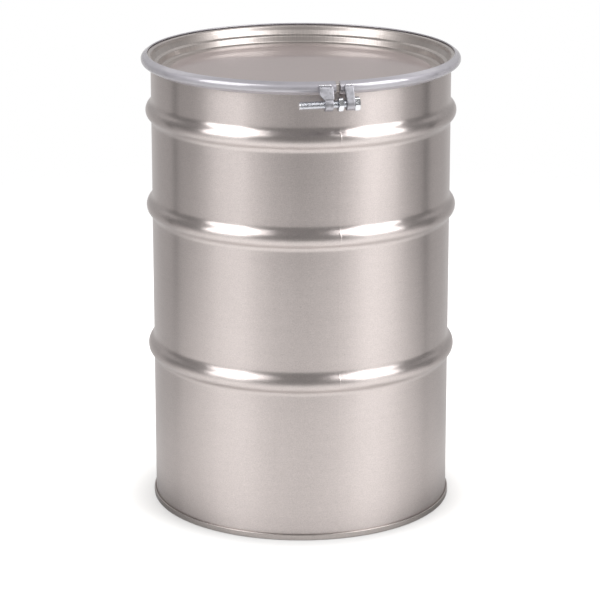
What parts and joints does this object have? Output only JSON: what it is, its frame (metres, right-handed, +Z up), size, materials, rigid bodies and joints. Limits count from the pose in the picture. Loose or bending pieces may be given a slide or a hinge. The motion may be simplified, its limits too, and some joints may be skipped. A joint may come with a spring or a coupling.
{
  "type": "open-head steel drum",
  "caption": "Tall cylindrical stainless steel drum with rolled beads, a recessed lift-off cover and a split closing ring drawn tight by a bolt through lugs.",
  "frame": {"origin": "on the drum's axis at the height of the bottom chime's resting face, so the drum stands on z = 0; lugs and bolt stick out at the front, so the bounding box isn't centred on the axis", "axes": "+Z up along the drum's axis; -Y is the front of the drum, and the gap in the closing ring lies 12.9 degrees to the right of it; +X to the right"},
  "size_m": [0.6109, 0.6353, 0.884],
  "materials": {
    "stainless_body": "satin mill finish stainless steel with a fine horizontal grain",
    "seam_weld": "planished stainless weld, a little brighter than the sheet",
    "stainless_bottom": "satin mill finish stainless steel",
    "seam_compound": "cured sealing compound",
    "stainless_cover": "satin mill finish stainless steel with a fine concentric sheen",
    "gasket_rubber": "matt black EPDM rubber",
    "galvanised_ring": "smooth electro-galvanised steel, pale grey with a violet cast",
    "galvanised_lug": "forged steel, zinc plated, slightly rough",
    "lug_weld": "small rippled weld under zinc plate",
    "zinc_fastener": "bright zinc plate"
  },
  "bodies": {
    "drum": {"body_shell": "stainless_body", "side_seam_weld": "seam_weld", "bottom_head": "stainless_bottom", "bottom_seam_compound": "seam_compound"},
    "cover": {"cover": "stainless_cover", "cover_gasket": "gasket_rubber"},
    "ring": {"closing_ring": "galvanised_ring", "plain_lug": "galvanised_lug", "plain_lug_weld": "lug_weld"},
    "ring_end": {"threaded_lug": "galvanised_lug", "threaded_lug_weld": "lug_weld"},
    "bolt": {"ring_bolt": "zinc_fastener"},
    "nut": {"jam_nut": "zinc_fastener"}
  },
  "joints": [
    {"name": "cover_lift", "type": "slide", "parent": "drum", "child": "cover", "axis": [0, 0, 1], "range_m": [0, 0.05]},
    {"name": "ring_lift", "type": "slide", "parent": "drum", "child": "ring", "axis": [0, 0, 1], "range_m": [0, 0.1], "deforming": ["closing_ring"]},
    {"name": "bolt_turn", "type": "hinge", "parent": "ring", "child": "bolt", "pos_m": [0.06999, -0.30559, 0.8446], "axis": [0.9748, 0.2233, 0], "range_deg": [0, 6840]},
    {"name": "ring_opening", "type": "slide", "parent": "ring", "child": "ring_end", "axis": [-0.9748, -0.2233, 0], "range_m": [0, 0.044]},
    {"name": "jam_nut_run", "type": "slide", "parent": "bolt", "child": "nut", "axis": [0.9748, 0.2233, 0], "range_m": [-0.007, 0.0056]}
  ],
  "couplings": [
    {"joint": "ring_lift", "follows": "cover_lift", "ratio": 2},
    {"joint": "ring_opening", "follows": "bolt_turn", "m_per_rad": 0.0003675}
  ]
}
